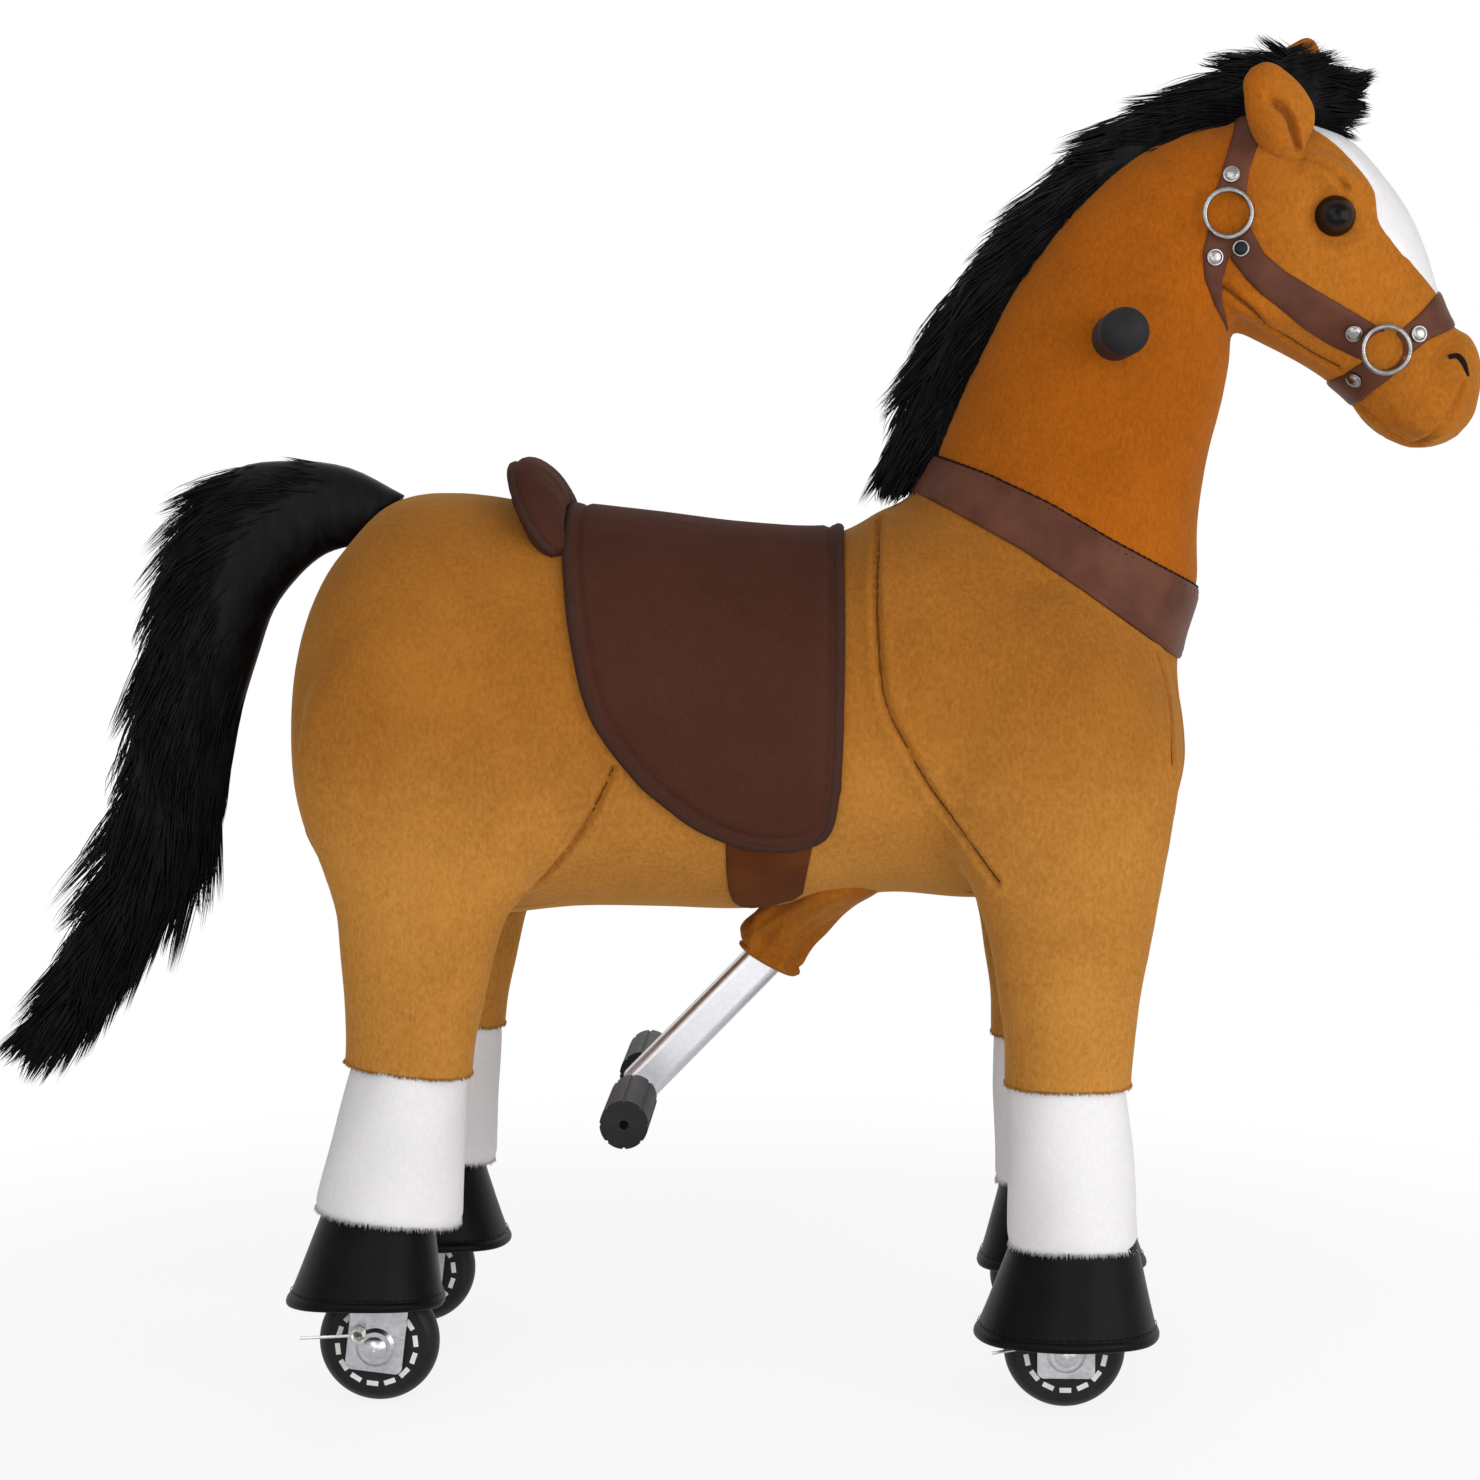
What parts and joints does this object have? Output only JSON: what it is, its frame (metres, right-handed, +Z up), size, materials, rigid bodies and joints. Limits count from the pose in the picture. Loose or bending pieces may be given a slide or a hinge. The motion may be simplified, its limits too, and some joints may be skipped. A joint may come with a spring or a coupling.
{
  "type": "ride-on horse",
  "caption": "Stuffed ride-on walking horse with a saddle, hand grips and a sprung foot lever that swings linked legs on ratchet wheels.",
  "frame": {"origin": "on the floor, at the middle of the overall box in plan", "axes": "+X towards the nose, +Y to the horse's left side, +Z up"},
  "size_m": [0.8552, 0.2638, 0.7634],
  "materials": {
    "frame_paint": "dark painted steel",
    "bush_nylon": "plain nylon",
    "spring_steel": "bright spring wire",
    "zinc_steel": "zinc plated sheet steel",
    "bearing_steel": "ground steel",
    "grip_rubber": "matt black rubber",
    "plush_tan": "short orange-tan plush",
    "plush_white": "white plush",
    "black_fur": "long black pile",
    "hoof_vinyl": "glossy black vinyl",
    "saddle_suede": "dark brown suede",
    "strap_leather": "reddish brown leatherette",
    "chrome_trim": "bright plated",
    "eye_gloss": "glossy black",
    "tyre_black": "matt black polyurethane",
    "hub_white": "off-white nylon"
  },
  "bodies": {
    "chassis": {"main_frame": "frame_paint", "pivot_bushes": "bush_nylon", "return_springs": "spring_steel", "neck_post": "frame_paint", "handlebar": "frame_paint", "handlebar_grips": "grip_rubber", "trunk": "plush_tan", "belly_panel": "plush_tan", "pedal_boot": "plush_tan", "neck": "plush_tan", "head": "plush_tan", "ears": "plush_tan", "eyes": "eye_gloss", "mane": "black_fur", "forelock": "black_fur", "tail": "black_fur", "saddle": "saddle_suede", "cantle": "saddle_suede", "girth_tabs": "strap_leather", "breast_collar": "strap_leather", "headstall": "strap_leather", "noseband": "strap_leather", "bridle_rings": "chrome_trim", "bridle_rivets": "chrome_trim"},
    "front_legs": {"front_leg_frame": "frame_paint", "front_forks": "zinc_steel", "front_axle_bolts": "zinc_steel", "front_pawl_springs": "spring_steel", "front_leg_left": "plush_tan", "front_leg_right": "plush_tan", "front_sock_left": "plush_white", "front_sock_right": "plush_white", "front_hoof_left": "hoof_vinyl", "front_hoof_right": "hoof_vinyl"},
    "rear_legs": {"rear_leg_frame": "frame_paint", "rear_forks": "zinc_steel", "rear_axle_bolts": "zinc_steel", "rear_pawl_springs": "spring_steel", "rear_leg_left": "plush_tan", "rear_leg_right": "plush_tan", "rear_sock_left": "plush_white", "rear_sock_right": "plush_white", "rear_hoof_left": "hoof_vinyl", "rear_hoof_right": "hoof_vinyl"},
    "front_wheel_left": {"front_tyre_left": "tyre_black", "front_hub_left": "hub_white", "front_bearings_left": "bearing_steel"},
    "front_wheel_right": {"front_tyre_right": "tyre_black", "front_hub_right": "hub_white", "front_bearings_right": "bearing_steel"},
    "rear_wheel_left": {"rear_tyre_left": "tyre_black", "rear_hub_left": "hub_white", "rear_bearings_left": "bearing_steel"},
    "rear_wheel_right": {"rear_tyre_right": "tyre_black", "rear_hub_right": "hub_white", "rear_bearings_right": "bearing_steel"},
    "foot_lever": {"pedal_lever": "zinc_steel", "pedal_grips": "grip_rubber"},
    "front_link": {"front_tie_rod": "zinc_steel"},
    "rear_link": {"rear_tie_rod": "zinc_steel"}
  },
  "joints": [
    {"name": "front_leg_swing", "type": "hinge", "parent": "chassis", "child": "front_legs", "pos_m": [0.19, 0, 0.367], "axis": [0, -1, 0], "range_deg": [0, 26], "stiffness_Nm_per_rad": 25, "springref_deg": -20.05},
    {"name": "rear_leg_swing", "type": "hinge", "parent": "chassis", "child": "rear_legs", "pos_m": [-0.157, 0, 0.36473], "axis": [0, 1, 0], "range_deg": [0, 20.02]},
    {"name": "pedal_swing", "type": "hinge", "parent": "chassis", "child": "foot_lever", "pos_m": [-0.042, 0, 0.323], "axis": [0, -1, 0], "range_deg": [0, 44.62], "deforming": ["pedal_boot"]},
    {"name": "front_link_turn", "type": "hinge", "parent": "front_legs", "child": "front_link", "pos_m": [0.20544, 0, 0.43386], "axis": [0, -1, 0], "range_deg": [-26.02, 0]},
    {"name": "rear_link_turn", "type": "hinge", "parent": "rear_legs", "child": "rear_link", "pos_m": [-0.14732, 0, 0.30982], "axis": [0, 1, 0], "range_deg": [-20.04, 0]},
    {"name": "front_left_roll", "type": "hinge", "parent": "front_legs", "child": "front_wheel_left", "pos_m": [0.19, 0.084, 0.034], "axis": [0, 1, 0], "continuous": true},
    {"name": "front_right_roll", "type": "hinge", "parent": "front_legs", "child": "front_wheel_right", "pos_m": [0.19, -0.084, 0.034], "axis": [0, 1, 0], "continuous": true},
    {"name": "rear_left_roll", "type": "hinge", "parent": "rear_legs", "child": "rear_wheel_left", "pos_m": [-0.19585, 0.084, 0.034], "axis": [0, 1, 0], "continuous": true},
    {"name": "rear_right_roll", "type": "hinge", "parent": "rear_legs", "child": "rear_wheel_right", "pos_m": [-0.19585, -0.084, 0.034], "axis": [0, 1, 0], "continuous": true}
  ],
  "couplings": [
    {"joint": "rear_leg_swing", "follows": "front_leg_swing", "ratio": 0.76923},
    {"joint": "pedal_swing", "follows": "front_leg_swing", "ratio": 1.7154},
    {"joint": "front_link_turn", "follows": "front_leg_swing", "ratio": -1},
    {"joint": "rear_link_turn", "follows": "front_leg_swing", "ratio": -0.76923}
  ]
}
